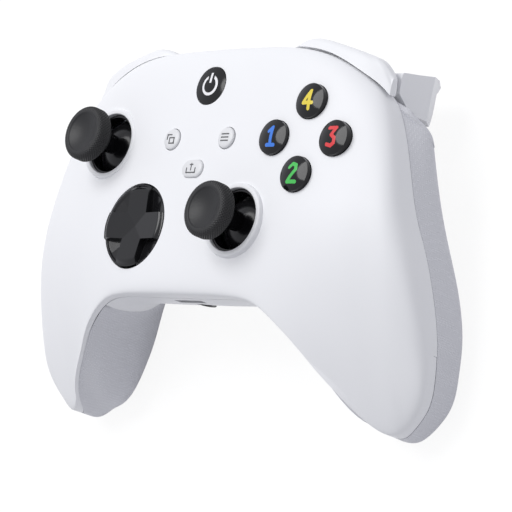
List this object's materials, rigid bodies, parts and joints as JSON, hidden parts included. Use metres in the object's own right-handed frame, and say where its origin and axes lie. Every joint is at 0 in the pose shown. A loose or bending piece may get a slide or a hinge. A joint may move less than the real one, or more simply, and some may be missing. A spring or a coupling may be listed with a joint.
{
  "type": "gamepad controller",
  "caption": "White wireless gamepad controller with sticks, a directional pad, buttons, triggers, bumpers and rumble.",
  "frame": {"origin": "centre of the battery cover's resting face", "axes": "+X to the player's right, +Y from the grips to the triggers, +Z out of the face"},
  "size_m": [0.1524, 0.105, 0.0565],
  "materials": {
    "white_shell": "matte",
    "grey_panel": "matte",
    "black_gloss": "gloss",
    "black_matte": "matte",
    "grey_button": "matte",
    "yellow_sign": "gloss",
    "blue_sign": "gloss",
    "red_sign": "gloss",
    "green_sign": "gloss",
    "board": "satin",
    "steel": "satin",
    "soft_rubber": "matte",
    "cell_skin": "satin",
    "dark_frame": "matte"
  },
  "bodies": {
    "controller": {"front_shell": "white_shell", "rear_shell": "white_shell", "left_grip_panel": "grey_panel", "right_grip_panel": "grey_panel", "well_rings": "black_gloss", "trigger_pins": "steel", "centre_bridge": "black_gloss", "usb_receptacle": "steel", "headset_jack": "dark_frame", "expansion_port": "dark_frame", "inner_frame": "dark_frame", "main_board": "board", "lower_board": "board", "frame_screws": "steel", "battery_cells": "cell_skin", "battery_contacts": "steel", "pad_post": "dark_frame", "pad_membrane": "soft_rubber", "button_membrane": "soft_rubber", "guide_switch": "soft_rubber", "small_membrane": "soft_rubber", "left_grip_motor": "steel", "right_grip_motor": "steel", "left_trigger_motor": "steel", "right_trigger_motor": "steel", "left_stick_module": "steel", "right_stick_module": "steel"},
    "battery_cover": {"battery_cover": "white_shell"},
    "left_yoke": {"left_stick_yoke": "steel"},
    "left_carrier": {"left_stick_carrier": "dark_frame"},
    "left_stick": {"left_stick_dome": "black_gloss", "left_stick_cap": "black_matte"},
    "right_yoke": {"right_stick_yoke": "steel"},
    "right_carrier": {"right_stick_carrier": "dark_frame"},
    "right_stick": {"right_stick_dome": "black_gloss", "right_stick_cap": "black_matte"},
    "pad_rocker": {"pad_rocker": "dark_frame"},
    "pad": {"pad_cap": "black_gloss"},
    "top_button": {"top_button": "black_gloss", "top_button_sign": "yellow_sign"},
    "left_button": {"left_button": "black_gloss", "left_button_sign": "blue_sign"},
    "right_button": {"right_button": "black_gloss", "right_button_sign": "red_sign"},
    "bottom_button": {"bottom_button": "black_gloss", "bottom_button_sign": "green_sign"},
    "guide_button": {"guide_button": "black_gloss", "guide_mark": "white_shell"},
    "view_button": {"view_button": "grey_button"},
    "menu_button": {"menu_button": "grey_button"},
    "share_button": {"share_button": "grey_button"},
    "pair_button": {"pair_button": "black_matte"},
    "left_bumper": {"left_bumper": "white_shell"},
    "left_trigger": {"left_trigger": "white_shell"},
    "left_grip_weight": {"left_grip_weight": "steel"},
    "left_trigger_weight": {"left_trigger_weight": "steel"},
    "right_bumper": {"right_bumper": "white_shell"},
    "right_trigger": {"right_trigger": "white_shell"},
    "right_grip_weight": {"right_grip_weight": "steel"},
    "right_trigger_weight": {"right_trigger_weight": "steel"}
  },
  "joints": [
    {"name": "battery_cover_slide", "type": "slide", "parent": "controller", "child": "battery_cover", "axis": [0, -1, 0], "range_m": [0, 0.045]},
    {"name": "left_stick_tilt_y", "type": "hinge", "parent": "controller", "child": "left_yoke", "pos_m": [-0.0386, 0.0064, 0.0324], "axis": [1, 0, 0], "range_deg": [-15, 15], "stiffness_Nm_per_rad": 0.02},
    {"name": "left_stick_tilt_x", "type": "hinge", "parent": "left_yoke", "child": "left_carrier", "pos_m": [-0.0386, 0.0064, 0.0324], "axis": [0, 1, 0], "range_deg": [-15, 15], "stiffness_Nm_per_rad": 0.02},
    {"name": "left_stick_click", "type": "slide", "parent": "left_carrier", "child": "left_stick", "axis": [0, 0, -1], "range_m": [0, 0.0005], "stiffness_N_per_m": 2000, "springref_m": -0.001},
    {"name": "right_stick_tilt_y", "type": "hinge", "parent": "controller", "child": "right_yoke", "pos_m": [0.0198, -0.0169, 0.0324], "axis": [1, 0, 0], "range_deg": [-15, 15], "stiffness_Nm_per_rad": 0.02},
    {"name": "right_stick_tilt_x", "type": "hinge", "parent": "right_yoke", "child": "right_carrier", "pos_m": [0.0198, -0.0169, 0.0324], "axis": [0, 1, 0], "range_deg": [-15, 15], "stiffness_Nm_per_rad": 0.02},
    {"name": "right_stick_click", "type": "slide", "parent": "right_carrier", "child": "right_stick", "axis": [0, 0, -1], "range_m": [0, 0.0005], "stiffness_N_per_m": 2000, "springref_m": -0.001},
    {"name": "pad_rock_y", "type": "hinge", "parent": "controller", "child": "pad_rocker", "pos_m": [-0.0199, -0.0185, 0.039], "axis": [1, 0, 0], "range_deg": [-3.5, 3.5], "stiffness_Nm_per_rad": 0.05},
    {"name": "pad_rock_x", "type": "hinge", "parent": "pad_rocker", "child": "pad", "pos_m": [-0.0199, -0.0185, 0.039], "axis": [0, 1, 0], "range_deg": [-3.5, 3.5], "stiffness_Nm_per_rad": 0.05},
    {"name": "top_button_press", "type": "slide", "parent": "controller", "child": "top_button", "axis": [0, 0, -1], "range_m": [0, 0.0015], "stiffness_N_per_m": 400, "springref_m": -0.001},
    {"name": "left_button_press", "type": "slide", "parent": "controller", "child": "left_button", "axis": [0, 0, -1], "range_m": [0, 0.0015], "stiffness_N_per_m": 400, "springref_m": -0.001},
    {"name": "right_button_press", "type": "slide", "parent": "controller", "child": "right_button", "axis": [0, 0, -1], "range_m": [0, 0.0015], "stiffness_N_per_m": 400, "springref_m": -0.001},
    {"name": "bottom_button_press", "type": "slide", "parent": "controller", "child": "bottom_button", "axis": [0, 0, -1], "range_m": [0, 0.0015], "stiffness_N_per_m": 400, "springref_m": -0.001},
    {"name": "guide_button_press", "type": "slide", "parent": "controller", "child": "guide_button", "axis": [0, 0, -1], "range_m": [0, 0.0007], "stiffness_N_per_m": 600, "springref_m": -0.001},
    {"name": "view_button_press", "type": "slide", "parent": "controller", "child": "view_button", "axis": [0, 0, -1], "range_m": [0, 0.0008], "stiffness_N_per_m": 500, "springref_m": -0.001},
    {"name": "menu_button_press", "type": "slide", "parent": "controller", "child": "menu_button", "axis": [0, 0, -1], "range_m": [0, 0.0008], "stiffness_N_per_m": 500, "springref_m": -0.001},
    {"name": "share_button_press", "type": "slide", "parent": "controller", "child": "share_button", "axis": [0, 0, -1], "range_m": [0, 0.0008], "stiffness_N_per_m": 500, "springref_m": -0.001},
    {"name": "pair_button_press", "type": "slide", "parent": "controller", "child": "pair_button", "axis": [0, -1, 0], "range_m": [0, 0.0006], "stiffness_N_per_m": 600, "springref_m": -0.001},
    {"name": "left_bumper_press", "type": "hinge", "parent": "controller", "child": "left_bumper", "pos_m": [-0.02, 0.031, 0.033], "axis": [0, 0, 1], "range_deg": [0, 0.5], "stiffness_Nm_per_rad": 1, "springref_deg": -2.86},
    {"name": "left_trigger_pull", "type": "hinge", "parent": "controller", "child": "left_trigger", "pos_m": [-0.043, 0.0246, 0.0226], "axis": [-1, 0, 0], "range_deg": [0, 18], "stiffness_Nm_per_rad": 0.05, "springref_deg": -17.19},
    {"name": "left_grip_weight_spin", "type": "hinge", "parent": "controller", "child": "left_grip_weight", "pos_m": [-0.055, -0.0275, 0.0165], "axis": [0, 1, 0], "continuous": true},
    {"name": "left_trigger_weight_spin", "type": "hinge", "parent": "controller", "child": "left_trigger_weight", "pos_m": [-0.041, 0.01, 0.0226], "axis": [0, 1, 0], "continuous": true},
    {"name": "right_bumper_press", "type": "hinge", "parent": "controller", "child": "right_bumper", "pos_m": [0.02, 0.031, 0.033], "axis": [0, 0, -1], "range_deg": [0, 0.5], "stiffness_Nm_per_rad": 1, "springref_deg": -2.86},
    {"name": "right_trigger_pull", "type": "hinge", "parent": "controller", "child": "right_trigger", "pos_m": [0.043, 0.0246, 0.0226], "axis": [-1, 0, 0], "range_deg": [0, 18], "stiffness_Nm_per_rad": 0.05, "springref_deg": -17.19},
    {"name": "right_grip_weight_spin", "type": "hinge", "parent": "controller", "child": "right_grip_weight", "pos_m": [0.055, -0.0275, 0.0165], "axis": [0, 1, 0], "continuous": true},
    {"name": "right_trigger_weight_spin", "type": "hinge", "parent": "controller", "child": "right_trigger_weight", "pos_m": [0.041, 0.01, 0.0226], "axis": [0, 1, 0], "continuous": true}
  ]
}
